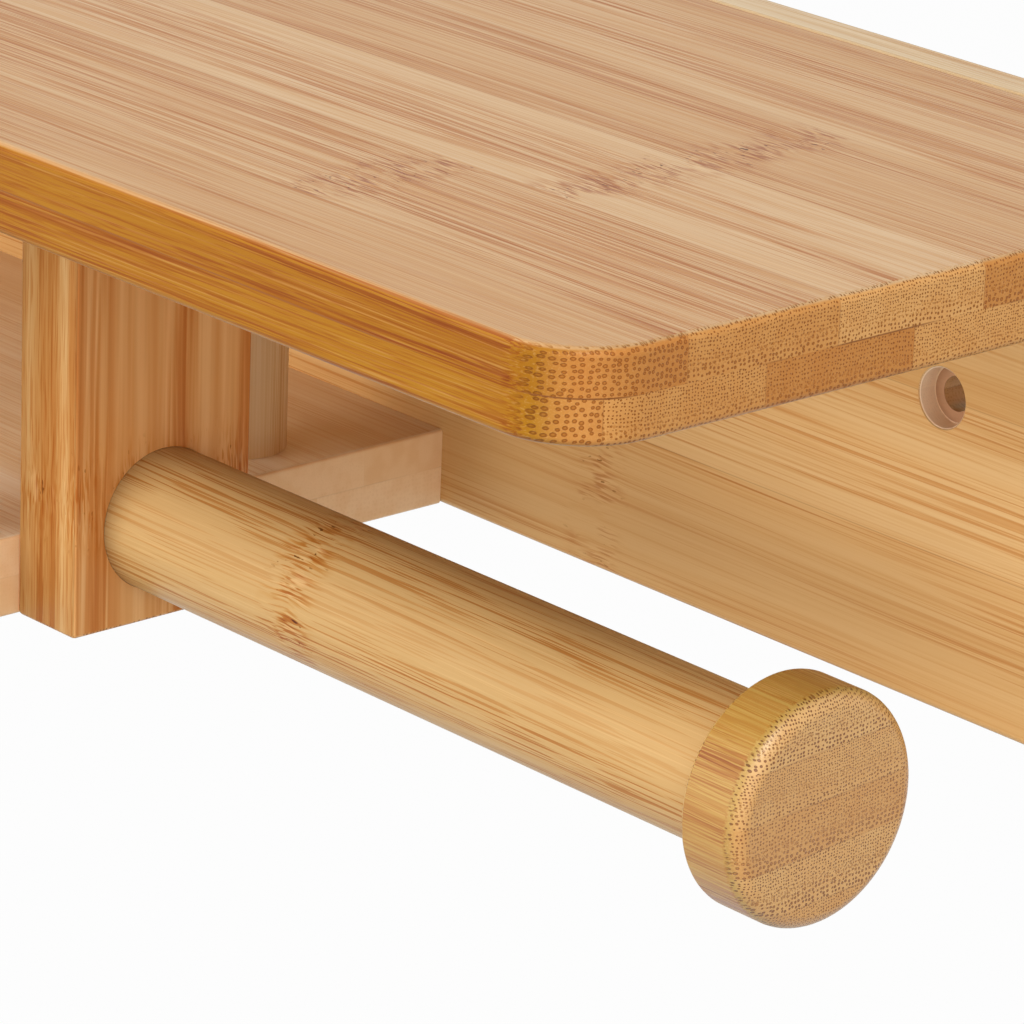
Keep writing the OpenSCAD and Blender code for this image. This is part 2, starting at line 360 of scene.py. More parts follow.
def settle(piece, slot, material, *nodes):
    """Shades a piece, gives it its finish and seats it on the frame in the place of its nodes"""
    take(piece)
    bpy.ops.object.shade_smooth_by_angle(angle=SMOOTH_ANGLE)
    modify(piece, "WEIGHTED_NORMAL", keep_sharp=True)
    piece.data.materials.clear()
    piece.data.materials.append(material)
    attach(piece, "root")
    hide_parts(*nodes)


def spaced(low, high, count, size):
    """Centres of a row of like things that fills the stretch from low to high"""
    first = low + size / 2
    step = (high - low - size) / max(count - 1, 1)
    return [first + i * step for i in range(count)]


def grid(node, counts, sizes):
    """Centres of a node's like solids, from its box, how many lie along each axis and how big one is"""
    low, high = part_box(node)
    rows = [spaced(low[i], high[i], counts[i], sizes[i]) for i in range(3)]
    return [Vector((x, y, z)) for x in rows[0] for y in rows[1] for z in rows[2]]


def fasteners(node):
    """Starts, direction, length and width of a node's screws or pins, placed in its box"""
    counts, direction, width = FASTENERS[node]
    low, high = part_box(node)
    axis = Vector(direction)
    along = max(range(3), key=lambda i: abs(axis[i]))
    long = high[along] - low[along]
    size = [width * MM] * 3
    size[along] = long
    starts = [centre - axis * long / 2 for centre in grid(node, counts, size)]
    return starts, axis, long, width * MM


def screw_hole(name, start, axis, long, head):
    """Cutter for a countersunk screw's hole, with the sink above its head"""
    s = bpy.context.scene.holder_sizes
    shank = s.shank / 2 + s.glue_gap
    wide = head / 2 + s.glue_gap
    head_h = (head - s.shank) / 2
    outline = [
        (-long - s.end_gap, shank),
        (-head_h, shank),
        (0, wide),
        (s.head_sink + s.end_gap, wide),
    ]
    return lay(turned(name, outline, HOLE_SIDES), start, -axis)


def pin_hole(name, start, axis, long, wide):
    """Cutter for a pin's hole, with room past both ends"""
    s = bpy.context.scene.holder_sizes
    radius = wide / 2 + s.glue_gap
    outline = [(-s.end_gap, radius), (long + s.end_gap, radius)]
    return lay(turned(name, outline, HOLE_SIDES), start, axis)


def drill_for(piece, *nodes):
    """Drills the holes of those screws and pins of some nodes that reach into a piece"""
    low = [min(corner[i] for corner in piece.bound_box) for i in range(3)]
    high = [max(corner[i] for corner in piece.bound_box) for i in range(3)]
    for node in nodes:
        starts, axis, long, wide = fasteners(node)
        cutter = screw_hole if "screw" in node else pin_hole
        for start in starts:
            end = start + axis * long
            if all(min(start[i], end[i]) < high[i] and max(start[i], end[i]) > low[i] for i in range(3)):
                drill(piece, cutter("hole", start, axis, long, wide))


def add_node(tree, kind, inputs=(), **settings):
    """Adds one shader node with its settings.

    Inputs come in order or by name: a node or a socket is linked, and anything else but None is the value.
    """
    node = tree.nodes.new("ShaderNode" + kind)
    for key, value in settings.items():
        setattr(node, key, value)
    for key, value in inputs.items() if isinstance(inputs, dict) else enumerate(inputs):
        if isinstance(value, bpy.types.Node):
            value = value.outputs[0]
        if isinstance(value, bpy.types.NodeSocket):
            tree.links.new(value, node.inputs[key])
        elif value is not None:
            node.inputs[key].default_value = value
    return node


def new_material(name):
    """Empty material, and the function that adds nodes to it"""
    material = bpy.data.materials.new(name)
    material.use_nodes = True
    material.node_tree.nodes.clear()
    return material, partial(add_node, material.node_tree)


def drawn_noise(add, at, long, wide):
    """Noise drawn out to so many millimetres along and across the grain"""
    drawn = add("VectorMath", (at, (1 / long, 1 / wide, 1 / wide)), operation="MULTIPLY")
    return add("TexNoise", {"Vector": drawn, "Scale": 1.0, "Detail": 1.0})


def streaks(add, at, long, wide, low, high):
    """Mask of streaks along the grain, with the noise levels at a streak's rim and in its middle"""
    noise = drawn_noise(add, at, long, wide)
    return add("MapRange", {"Value": noise, "From Min": low, "From Max": high},
               interpolation_type="SMOOTHSTEP")


def sway(add, at, long, wide, far):
    """Shift of a point by drawn noise, up to half so far each way"""
    noise = drawn_noise(add, at, long, wide)
    even = add("VectorMath", (noise.outputs["Color"], (0.5,) * 3), operation="SUBTRACT")
    return add("VectorMath", {0: even, "Scale": far}, operation="SCALE")


def stain(add, ground, mask, share, tint):
    """Ground seen through a stain: it keeps the tint's part of its light where mask and share are 1"""
    part = add("Math", (mask, share), operation="MULTIPLY")
    kept = add("Gamma", (tint, part))
    mixed = add("Mix", {MIX_SHARE: 1.0, MIX_A: ground, MIX_B: kept}, data_type="RGBA",
                blend_type="MULTIPLY")
    return mixed.outputs[MIX_COLOUR]


def cover(add, ground, mask, share, tint):
    """Ground that a share of another colour lies over where a mask is 1"""
    part = add("Math", (mask, share), operation="MULTIPLY")
    mixed = add("Mix", {MIX_SHARE: part, MIX_A: ground, MIX_B: tint}, data_type="RGBA")
    return mixed.outputs[MIX_COLOUR]


def knuckle_mask(add, u, v, knuckles, reach):
    """1 in the middle of each knuckle, where a leaf sheath sat, and 0 at its reach along the grain"""
    total = 0.0
    for along, low, high in knuckles:
        off = add("Math", (add("Math", (u, along), operation="SUBTRACT"),), operation="ABSOLUTE")
        band = add("MapRange", {"Value": off, "From Min": reach, "From Max": 0.0},
                   interpolation_type="SMOOTHSTEP")
        inside = add("Math", (v, (low + high) / 2, (high - low) / 2), operation="COMPARE")
        one = add("Math", (band, inside), operation="MULTIPLY")
        total = add("Math", (total, one), operation="MAXIMUM")
    return total


def bundle_ends(add, section, per_mm, thin, eye_share):
    """Fibre bundles cut across: rings 0.4 to 0.8 mm apart, as in a culm's wall, each with a paler eye"""
    cells = add("TexVoronoi", {"Vector": section, "Scale": per_mm, "Randomness": 0.5},
                voronoi_dimensions="2D", feature="F1")
    luck = add("SeparateXYZ", (cells.outputs["Color"],))
    uneven = add("Math", (luck.outputs[0], 0.12, cells.outputs["Distance"]), operation="MULTIPLY_ADD")
    off = add("Math", (thin, 0.09, uneven), operation="MULTIPLY_ADD")
    ring = add("MapRange", {"Value": off, "From Min": 0.42, "From Max": 0.31},
               interpolation_type="SMOOTHSTEP")
    eye = add("MapRange", {"Value": off, "From Min": 0.27, "From Max": 0.12, "To Max": -0.7})
    paler = add("Math", (eye, eye_share, 1.0), operation="MULTIPLY_ADD")
    return add("Math", (ring, paler), operation="MULTIPLY")


def fibre_ends(add, grain, thin, tone, depth, bundle, skin):
    """Fibre bundles on the end grain: coarse rings inside a ply, which turn fine towards its skin"""
    parts = add("SeparateXYZ", (grain,)).outputs
    section = add("CombineXYZ", (parts[1], parts[2], 0.0))
    per_mm = add("Math", (thin, 0.35 / bundle, 1 / bundle), operation="MULTIPLY_ADD")
    coarse = bundle_ends(add, section, per_mm, thin, tone)
    fine = bundle_ends(add, section, add("Math", (per_mm, 1.35), operation="MULTIPLY"), 1.0, 0.0)
    to_skin = add("MapRange", {"Value": depth, "From Min": skin[0], "From Max": skin[1]},
                  interpolation_type="SMOOTHSTEP")
    has_skin = add("Math", (thin, 0.1), operation="GREATER_THAN")
    skinned = add("Math", (to_skin, has_skin), operation="MULTIPLY")
    return add("Mix", {MIX_SHARE: skinned, MIX_FROM: coarse, MIX_TO: fine})


def strip_layout(add, v, w, plies, strips):
    """Plies and strips counted at a point, each with its fraction and as a whole number"""
    ply_start, ply_t = plies
    strip_start, strip_w, strip_shift = strips
    from_ply = add("Math", (w, ply_start), operation="SUBTRACT")
    in_plies = add("Math", (from_ply, ply_t), operation="DIVIDE")
    ply = add("Math", (in_plies,), operation="FLOOR")
    shifted = add("Math", (ply, -strip_shift, v), operation="MULTIPLY_ADD")
    from_strip = add("Math", (shifted, strip_start), operation="SUBTRACT")
    in_strips = add("Math", (from_strip, strip_w), operation="DIVIDE")
    strip = add("Math", (in_strips,), operation="FLOOR")
    return in_plies, ply, in_strips, strip


def strip_looks(add, ply, strip, v, tones, trimmed):
    """Shade of a strip, from 0 for the palest to 1, and how thin its fibre bundles are"""
    ply_step = 0.8
    thin_step = 0.618
    trimmed_tone = 0.7
    side = add("Math", (ply, -2.0, 1.0), operation="MULTIPLY_ADD")
    steps = add("Math", (add("Math", (strip, 1.0), operation="ADD"), side), operation="MULTIPLY")
    tone_at = add("Math", (steps, tones[1], tones[0]), operation="MULTIPLY_ADD")
    ply_tone_at = add("Math", (ply, ply_step, tone_at), operation="MULTIPLY_ADD")
    tone = add("Math", (ply_tone_at,), operation="FRACT")
    if trimmed is not None:
        outer = add("Math", (v, trimmed), operation="LESS_THAN")
        darker = add("Math", (outer, trimmed_tone), operation="MULTIPLY")
        tone = add("Math", (tone, darker), operation="MAXIMUM")
    thin = add("Math", (add("Math", (steps, thin_step), operation="MULTIPLY"),), operation="FRACT")
    return tone, thin


def glue_seams(add, at, normal, in_plies, ply_t, in_strips, strip_w, seam):
    """Mask of the glue lines that cross a face: strong and broken between plies, faint between strips"""
    ply_off = add("Math", (add("Math", (in_plies, 0.5), operation="PINGPONG"), ply_t), operation="MULTIPLY")
    ply_seam = add("MapRange", {"Value": ply_off, "From Min": 0.16, "From Max": 0.04, "To Max": seam})
    broken = add("Math", (ply_seam, streaks(add, at, *WHOLE_SEAMS)), operation="MULTIPLY")
    crosses_plies = add("Math", (normal[2], 0.7), operation="LESS_THAN")
    between_plies = add("Math", (broken, crosses_plies), operation="MULTIPLY")
    strip_off = add("Math", (add("Math", (in_strips, 0.5), operation="PINGPONG"), strip_w),
                    operation="MULTIPLY")
    strip_seam = add("MapRange", {
        "Value": strip_off, "From Min": 0.12, "From Max": 0.03, "To Max": 0.25 * seam})
    crosses_strips = add("Math", (normal[1], 0.7), operation="LESS_THAN")
    between_strips = add("Math", (strip_seam, crosses_strips), operation="MULTIPLY")
    return add("Math", (between_strips, between_plies), operation="MAXIMUM")


def bored_ground(add, ground, u, v, w, bores):
    """Ground with painted light on the smooth wall of each counterbore, where little light gets in, and
    painted shade on its seat over it
    """
    c = bpy.context.scene.holder_colours
    wall_t = 0.3
    for bore_u, bore_v, radius, floor in bores:
        point = add("CombineXYZ", (u, v, 0.0))
        off = add("VectorMath", (point, (bore_u, bore_v, 0.0)), operation="DISTANCE").outputs["Value"]
        above = add("Math", (w, floor), operation="GREATER_THAN")
        # Painted light on the counterbore's wall, then painted shade on its seat, which starts 0.3 mm
        # inside the wall
        for far, share, tint in ((radius, 0.7, c.bore_wall_painted_light), (radius - wall_t, 0.8, c.seat)):
            within = add("Math", (off, far), operation="LESS_THAN")
            inside = add("Math", (within, above), operation="MULTIPLY")
            ground = cover(add, ground, inside, share, tint)
    return ground


def bamboo(name, face, edge, end, turn, plies, strips, knuckles, seed, tones=(0.1, 0.382),
           toning=(0.4, 1.0), bands=0.25, lines=(70.0, 0.27, 0.56, 0.05), showing=(0.5, 0.85), hair=0.6,
           eased=0.1, dots=1.0, bundle=0.75, skin=(0.1, 0.6), reach=8.0, scarring=1.0, nicked=0.0,
           seam=1.0, gloss=0.15, burnt=None, trimmed=None, bores=()):
    """Laminated bamboo, planed, sanded and lacquered to a satin sheen.

    It is a solid pattern in millimetres, with u along the fibres, v across a strip and w through the plies.
    Fibre bundles show as rings on the end grain, as dashes where the wood curves away from it and as lines
    along the grain.

    face, edge, end: grounds of the broad faces, of the narrow ones and of the end grain
    turn: turns the piece's axes into u, v and w
    plies: where the first ply starts, and how thick one is
    strips: where the first strip starts, how wide one is, and how far the next ply's strips are shifted
    knuckles, reach: (u, from v, to v) of each knuckle, and how far one spreads along the grain
    seed: sets this piece's fibres apart from those of the others
    tones, toning: the first strip's shade and the step to the next, and how much of it shows along the
        grain and on the end
    lines, showing: length, width, noise level at the rim and softness of the lines along the grain, and how
        much they show on a face and on an edge
    bundle, skin: spacing of the coarsest rings, and the part of a ply over which they turn fine
    bands, hair, eased, dots, scarring, nicked, seam: strength of the broad bands, the hairlines, the
    arris's orange, which is the edge's colour with a painted highlight, the rings, the knuckles' dashes,
    the nicks on the edges and the glue seams
    gloss: specular level of the lacquer
    burnt: what a dash in a knuckle keeps of the ground
    trimmed: where a dark strip along the front ends
    bores: (u, v, radius, floor) of counterbores with a smooth wall that gets painted light, and a seat that
    gets painted shade
    """
    c = bpy.context.scene.holder_colours
    material, add = new_material(name)
    place = add("TexCoord")
    at = add("Mapping", {"Vector": place.outputs["Object"], "Rotation": turn, "Scale": (1 / MM,) * 3})
    facing = add("Mapping", {"Vector": place.outputs["Normal"], "Rotation": turn}, vector_type="NORMAL")
    u, v, w = add("SeparateXYZ", (at,)).outputs
    normal = [add("Math", (part,), operation="ABSOLUTE") for part in add("SeparateXYZ", (facing,)).outputs]
    cut = add("MapRange", {"Value": normal[0], "From Min": 0.1, "From Max": 0.4},
              interpolation_type="SMOOTHSTEP")
    uncut = add("Math", (1.0, cut), operation="SUBTRACT")
    on_end = add("MapRange", {"Value": normal[0], "From Min": 0.35, "From Max": 0.85},
                 interpolation_type="SMOOTHSTEP")
    on_face = add("MapRange", {"Value": normal[2], "From Min": 0.6, "From Max": 0.85},
                  interpolation_type="SMOOTHSTEP")
    on_edge = add("Math", (uncut, on_face), operation="SUBTRACT", use_clamp=True)
    flat = add("Math", (add("Math", (normal[0], normal[1]), operation="MAXIMUM"), normal[2]),
               operation="MAXIMUM")
    arris = add("MapRange", {"Value": flat, "From Min": 0.97, "From Max": 0.78},
                interpolation_type="SMOOTHSTEP")

    in_plies, ply, in_strips, strip = strip_layout(add, v, w, plies, strips)
    depth = add("Math", (in_plies,), operation="FRACT")
    tone, thin = strip_looks(add, ply, strip, v, tones, trimmed)

    scar = knuckle_mask(add, u, v, knuckles, reach)
    wandering = add("VectorMath", (at, sway(add, at, 160, 16, 2.4)), operation="ADD")
    swerve = sway(add, at, 10, 4, add("Math", (scar, 1.5), operation="MULTIPLY"))
    swirling = add("VectorMath", (wandering, swerve), operation="ADD")
    chance = add("TexWhiteNoise", {"Vector": add("CombineXYZ", (ply, strip, seed))}, noise_dimensions="3D")
    apart = add("VectorMath", {0: chance.outputs["Color"], "Scale": 90.0}, operation="SCALE")
    grain = add("VectorMath", (swirling, apart), operation="ADD")

    rings = add("Math", (fibre_ends(add, grain, thin, tone, depth, bundle, skin), cut),
                operation="MULTIPLY")
    strength = add("Math", (tone, -0.4, 1.0), operation="MULTIPLY_ADD")
    ends = add("Math", (rings, strength), operation="MULTIPLY")

    line_long, line_wide, rim, softness = lines
    levels = (rim, rim + softness)
    thin_lines = streaks(add, grain, line_long, line_wide, *levels)
    thick_lines = streaks(add, grain, 1.3 * line_long, 1.6 * line_wide, *levels)
    pale_lines = streaks(add, grain, 0.8 * line_long, 0.8 * line_wide, *PALE_LEVELS)
    soft = streaks(add, grain, *SOFT_BANDS)
    crowded = add("Math", (streaks(add, grain, *CROWDS_OF_LINES), 0.75, 0.25), operation="MULTIPLY_ADD")
    hairs = add("Math", (streaks(add, grain, *HAIRS), uncut), operation="MULTIPLY")
    both = add("Math", (thin_lines, thick_lines), operation="MAXIMUM")
    in_crowds = add("Math", (both, crowded), operation="MULTIPLY")
    line_mask = add("Math", (in_crowds, uncut), operation="MULTIPLY")
    nicks = add("Math", (streaks(add, grain, *NICKS), on_edge), operation="MULTIPLY")
    scarred = add("Math", (streaks(add, at, *KNUCKLE_PATCHES), scar), operation="MULTIPLY")
    dashes = add("Math", (streaks(add, swirling, *KNUCKLE_DASHES), scarred), operation="MULTIPLY")
    flecks = add("Math", (streaks(add, swirling, *KNUCKLE_FLECKS), scarred), operation="MULTIPLY")
    pits = add("Math", (streaks(add, swirling, *KNUCKLE_PITS), scarred), operation="MULTIPLY")

    along = cover(add, edge, on_face, 1.0, face)
    tint = cover(add, along, on_end, 1.0, end)
    toning_here = add("Mix", {MIX_SHARE: on_end, MIX_FROM: toning[0], MIX_TO: toning[1]})
    shown_here = add("Mix", {MIX_SHARE: on_face, MIX_FROM: showing[1], MIX_TO: showing[0]})
    tint = stain(add, tint, tone, toning_here, c.strip_tint)
    tint = stain(add, tint, soft, bands, c.band_tint)
    tint = cover(add, tint, pale_lines, 0.1, c.pale_line)
    tint = stain(add, tint, add("Math", (hairs, crowded), operation="MULTIPLY"), hair, c.line_tint)
    # Painted highlight: eased arrises get the edge's orange, brightened as if lit from above
    tint = cover(add, tint, arris, eased, c.arris)
    tint = stain(add, tint, line_mask, shown_here, c.line_tint)
    tint = stain(add, tint, nicks, nicked, c.line_tint)
    tint = stain(add, tint, ends, dots, c.dot_tint)
    tint = stain(add, tint, dashes, scarring, burnt or c.scar_tint)
    tint = cover(add, tint, flecks, 0.25, c.pale_line)
    tint = stain(add, tint, pits, scarring, c.pit)
    seams = glue_seams(add, at, normal, in_plies, plies[1], in_strips, strips[1], seam)
    tint = cover(add, tint, seams, 1.0, c.glue)
    # Painted light on each counterbore's wall and painted shade on its seat
    tint = bored_ground(add, tint, u, v, w, bores)

    rough = add("MapRange", {"Value": hairs, "To Min": 0.34, "To Max": 0.44})
    sunk = add("Math", (ends, line_mask), operation="MAXIMUM")
    raised = add("Math", (hairs, 0.15), operation="MULTIPLY")
    relief = add("Math", (sunk, -1.0, raised), operation="MULTIPLY_ADD")
    deep = add("Mix", {MIX_SHARE: cut, MIX_FROM: 0.3, MIX_TO: dots})
    bump = add("Bump", {"Strength": deep, "Distance": 0.07 * MM, "Height": relief})
    surface = add("BsdfPrincipled", {"Base Color": tint, "Roughness": rough, "Normal": bump, "IOR": 1.5,
                                     "Specular IOR Level": gloss})
    add("OutputMaterial", (surface,))
    return material


def zinc_steel():
    """Zinc plated steel of drawn and rolled screws: bright, with a faint haze in patches of about 1 mm"""
    c = bpy.context.scene.holder_colours
    material, add = new_material("Zinc plated steel, rolled")
    place = add("TexCoord")
    haze = add("TexNoise", {"Vector": place.outputs["Object"], "Scale": 900.0, "Detail": 3.0})
    rough = add("MapRange", {
        "Value": haze, "From Min": 0.3, "From Max": 0.7, "To Min": 0.22, "To Max": 0.42})
    tone = cover(add, c.steel, haze, 1.0, c.steel_haze)
    surface = add("BsdfPrincipled", {"Base Color": tone, "Metallic": 1.0, "Roughness": rough})
    add("OutputMaterial", (surface,))
    return material


def raw_beech():
    """Beech, milled and left raw: matt and pale, with darker flecks of about 0.6 mm"""
    c = bpy.context.scene.holder_colours
    material, add = new_material("Beech, milled")
    place = add("TexCoord")
    fleck = add("TexNoise", {"Vector": place.outputs["Object"], "Scale": 1600.0, "Detail": 2.0})
    part = add("MapRange", {"Value": fleck, "From Min": 0.5, "From Max": 0.7, "To Max": 0.5})
    tone = cover(add, c.beech, part, 1.0, c.beech_fleck)
    rough = add("MapRange", {"Value": fleck, "To Min": 0.55, "To Max": 0.7})
    surface = add("BsdfPrincipled", {"Base Color": tone, "Roughness": rough})
    add("OutputMaterial", (surface,))
    return material


def shelf_board(name, node, arris, segments):
    """Shelf with round front corners and eased arrises, but square at its rear edge"""
    s = bpy.context.scene.holder_sizes
    low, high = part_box(node)
    board = block(name, low, high)
    front = low.y
    ease(
        board,
        lambda p: all(close(q.y, front) for q in p) and close(p[0].x, p[1].x),
        s.corner_radius, segments=16)
    for level in (low.z, high.z):
        ease(
            board,
            lambda p: all(close(q.z, level) for q in p) and not all(close(q.y, high.y) for q in p),
            arris, segments)
    return board


class HOLDER_OT_top_shelf(bpy.types.Operator):
    """Long two-ply board with round front corners, drilled for its screws and pins"""

    bl_idname = "holder.add_top_shelf"
    bl_label = "Top Shelf"
    bl_options = {"REGISTER", "UNDO"}

    def execute(self, context):
        s = context.scene.holder_sizes
        c = context.scene.holder_colours
        low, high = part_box("top_shelf")
        board = shelf_board("top_shelf_board", "top_shelf", s.arris_radius, segments=4)
        drill_for(board, "top_shelf_screws", "pillar_pins", "post_top_pins")
        finish = bamboo(
            "Shelf bamboo, two plies, satin lacquer", c.shelf_face, c.shelf_edge, c.shelf_end,
            turn=(0, 0, 0), plies=(low.z / MM, (high.z - low.z) / MM / 2), strips=(-126.6, 24.4, 11.6),
            knuckles=((131, -115, -90.6), (149.5, -90.6, -41.8), (-112, -133, -66), (-64, -66, -17)),
            seed=1.0, nicked=0.35, trimmed=-126.6)
        settle(board, "shelf_bamboo", finish, "top_shelf")
        return {"FINISHED"}


class HOLDER_OT_back_board(bpy.types.Operator):
    """Board against the wall, with a counterbored wall screw hole near each end"""

    bl_idname = "holder.add_back_board"
    bl_label = "Back Board"
    bl_options = {"REGISTER", "UNDO"}

    def execute(self, context):
        s = context.scene.holder_sizes
        c = context.scene.holder_colours
        low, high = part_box("back_board")
        board = block("back_board_panel", low, high)
        ease(board, lambda p: True, s.arris_radius, segments=4)
        half = MOUNTS["wall_screws"]["dims"]["spacing_x_mm"] * MM / 2
        thick = high.y - low.y
        seat = thick - s.wall_head_deep
        outline = [
            (-s.end_gap, s.wall_hole / 2),
            (seat, s.wall_hole / 2),
            (seat, s.wall_head / 2),
            (thick - s.wall_rim, s.wall_head / 2),
            (thick, s.wall_head / 2 + s.wall_rim),
            (thick + s.end_gap, s.wall_head / 2 + s.wall_rim),
        ]
        for x in (-half, half):
            hole = turned("wall_hole", outline, WALL_HOLE_SIDES)
            drill(board, lay(hole, Vector((x, high.y, 0)), (0, -1, 0)))
        drill_for(board, "top_shelf_screws", "lower_shelf_screws")
        # Each counterbore's wall gets painted light and its seat painted shade
        margin = 0.1
        bore = (0.0, s.wall_head / 2 / MM + margin, seat / MM - margin)
        finish = bamboo(
            "Back board bamboo, one ply, satin lacquer", c.back_face_painted_light, c.back_edge, c.back_end_painted_light,
            turn=(-math.pi / 2, 0, 0), plies=(0, thick / MM), strips=(-45, 22.5, 0),
            knuckles=((72, -45, 0), (-150, -22.5, 22.5), (178, 22.5, 45)), seed=2.0,
            lines=(60.0, 0.42, 0.58, 0.1), showing=(0.45, 0.4), hair=0.25, dots=0.3, scarring=0.5,
            bores=[(x / MM, *bore) for x in (-half, half)])
        settle(board, "back_bamboo", finish, "back_board")
        return {"FINISHED"}


class HOLDER_OT_lower_shelf(bpy.types.Operator):
    """Floor of the compartment left of the roll"""

    bl_idname = "holder.add_lower_shelf"
    bl_label = "Lower Shelf"
    bl_options = {"REGISTER", "UNDO"}

    def execute(self, context):
        s = context.scene.holder_sizes
        c = context.scene.holder_colours
        low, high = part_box("lower_shelf")
        board = shelf_board("lower_shelf_board", "lower_shelf", s.fine_arris_radius, segments=3)
        drill_for(board, "lower_shelf_screws", "pillar_screws", "post_shelf_pins")
        finish = bamboo(
            "Lower shelf bamboo, two plies, satin lacquer", c.lower_face_painted_light, c.lower_edge, c.lower_end_painted_light,
            turn=(0, 0, 0), plies=(low.z / MM, (high.z - low.z) / MM / 2), strips=(-130, 24.4, 9),
            knuckles=((-30, -106, -57), (-140, -81, -33)), seed=3.0, toning=(0.3, 0.15), showing=(0.2, 0.5),
            hair=0.15, dots=0.03, bundle=0.8, scarring=0.4, seam=0.1)
        settle(board, "lower_bamboo", finish, "lower_shelf")
        return {"FINISHED"}


class HOLDER_OT_roll_post(bpy.types.Operator):
    """Upright block that carries the rod, with the rod's socket"""

    bl_idname = "holder.add_roll_post"
    bl_label = "Roll Post"
    bl_options = {"REGISTER", "UNDO"}

    def execute(self, context):
        s = context.scene.holder_sizes
        c = context.scene.holder_colours
        low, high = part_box("roll_post")
        post = block("roll_post_block", low, high)
        ease(post, lambda p: True, s.fine_arris_radius, segments=3)
        rod_low, rod_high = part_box("roll_rod")
        radius = (rod_high.z - rod_low.z) / 2 + s.glue_gap
        socket = turned("socket", [(0, radius), (s.socket + s.end_gap, radius)], SOCKET_SIDES)
        centre = (rod_low + rod_high) / 2
        drill(post, lay(socket, Vector((rod_low.x, centre.y, centre.z)), (1, 0, 0)))
        drill_for(post, "rod_screw", "post_shelf_pins", "post_top_pins")
        thick = (high.x - low.x) / MM
        finish = bamboo(
            "Post bamboo, three plies, satin lacquer", c.post_face_painted_light, c.post_edge, c.post_end,
            turn=(0, math.pi / 2, 0), plies=(-high.x / MM, thick / 3), strips=(-88, 17, 6),
            knuckles=((-25, -120, 0),), seed=4.0, bands=1.0, lines=(45.0, 1.0, 0.44, 0.28),
            showing=(0.7, 0.6), hair=0.12, eased=0.05, reach=10.0, scarring=0.5, nicked=0.4, seam=0.1,
            burnt=c.node_tint)
        settle(post, "post_bamboo", finish, "roll_post")
        return {"FINISHED"}


class HOLDER_OT_roll_rod(bpy.types.Operator):
    """Round rod that the roll hangs on"""

    bl_idname = "holder.add_roll_rod"
    bl_label = "Roll Rod"
    bl_options = {"REGISTER", "UNDO"}

    def execute(self, context):
        c = context.scene.holder_colours
        low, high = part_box("roll_rod")
        radius = (high.z - low.z) / 2
        centre = (low + high) / 2
        rod = turned("roll_rod_turned", [(0, radius), (high.x - low.x, radius)], ROD_SIDES)
        lay(rod, Vector((low.x, centre.y, centre.z)), (1, 0, 0))
        drill_for(rod, "rod_screw", "knob_pin")
        finish = bamboo(
            "Rod bamboo, turned, satin lacquer", c.rod_long, c.rod_long, c.rod_end,
            turn=(0.3, 0, 0), plies=(-400, 200), strips=(-200, 400, 0), knuckles=((91, -200, 200),),
            seed=5.0, bands=0.1, lines=(28.0, 0.3, 0.58, 0.06), showing=(0.75, 0.75), hair=0.12, eased=0.0,
            reach=7.0, scarring=0.9, burnt=c.node_tint)
        settle(rod, "rod_bamboo", finish, "roll_rod")
        return {"FINISHED"}


class HOLDER_OT_roll_knob(bpy.types.Operator):
    """Turned disc on the rod's free end, rounded towards its outer face"""

    bl_idname = "holder.add_roll_knob"
    bl_label = "Roll Knob"
    bl_options = {"REGISTER", "UNDO"}

    def execute(self, context):
        s = context.scene.holder_sizes
        c = context.scene.holder_colours
        low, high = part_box("roll_knob")
        radius = (high.z - low.z) / 2
        thick = high.x - low.x
        centre = (low + high) / 2
        knob = turned("roll_knob_turned", [(0, radius), (thick, radius)], ROD_SIDES)
        ease(knob, lambda p: all(close(q.z, thick) for q in p), s.knob_round, segments=10, profile=0.45)
        ease(knob, lambda p: all(close(q.z, 0) for q in p), s.knob_back_round, segments=3)
        lay(knob, Vector((low.x, centre.y, centre.z)), (1, 0, 0))
        drill_for(knob, "knob_pin")
        finish = bamboo(
            "Knob bamboo, turned, satin lacquer", c.knob_long, c.knob_long, c.knob_end,
            turn=(-math.radians(3.5), 0, 0), plies=(-44.0, 6.8), strips=(-100, 60, 0), knuckles=(),
            seed=6.0, tones=(0.55, 0.1), toning=(0.3, 0.5), lines=(16.0, 0.22, 0.53, 0.04),
            showing=(1.0, 1.0), eased=0.0, dots=1.3, bundle=0.72, skin=(0.1, 0.7), nicked=0.3,
            seam=0.3, gloss=0.65)
        settle(knob, "knob_bamboo", finish, "roll_knob")
        return {"FINISHED"}


class HOLDER_OT_pillars(bpy.types.Operator):
    """Four round dowels between the two shelves"""

    bl_idname = "holder.add_pillars"
    bl_label = "Pillars"
    bl_options = {"REGISTER", "UNDO"}

    def execute(self, context):
        c = context.scene.holder_colours
        first = "pillar_rear_right"
        low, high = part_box(first)
        radius = (high.x - low.x) / 2
        centre = (low + high) / 2
        pillar = turned(first + "_dowel", [(0, radius), (high.z - low.z, radius)], PILLAR_SIDES)
        lay(pillar, Vector((centre.x, centre.y, low.z)))
        drill_for(pillar, "pillar_screws", "pillar_pins")
        finish = bamboo(
            "Pillar bamboo, turned, satin lacquer", c.pillar_painted_light, c.pillar_painted_light, c.pillar_painted_light,
            turn=(0, math.pi / 2, 0), plies=(-400, 11), strips=(-200, 26, 0), knuckles=(),
            seed=7.0, showing=(0.3, 0.3), hair=0.2, eased=0.0, seam=0.2)
        for node in ("pillar_front_right", "pillar_rear_left", "pillar_front_left"):
            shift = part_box(node)[0] - low
            settle(twin(pillar, node + "_dowel", shift), "pillar_bamboo", finish, node)
        settle(pillar, "pillar_bamboo", finish, first)
        return {"FINISHED"}


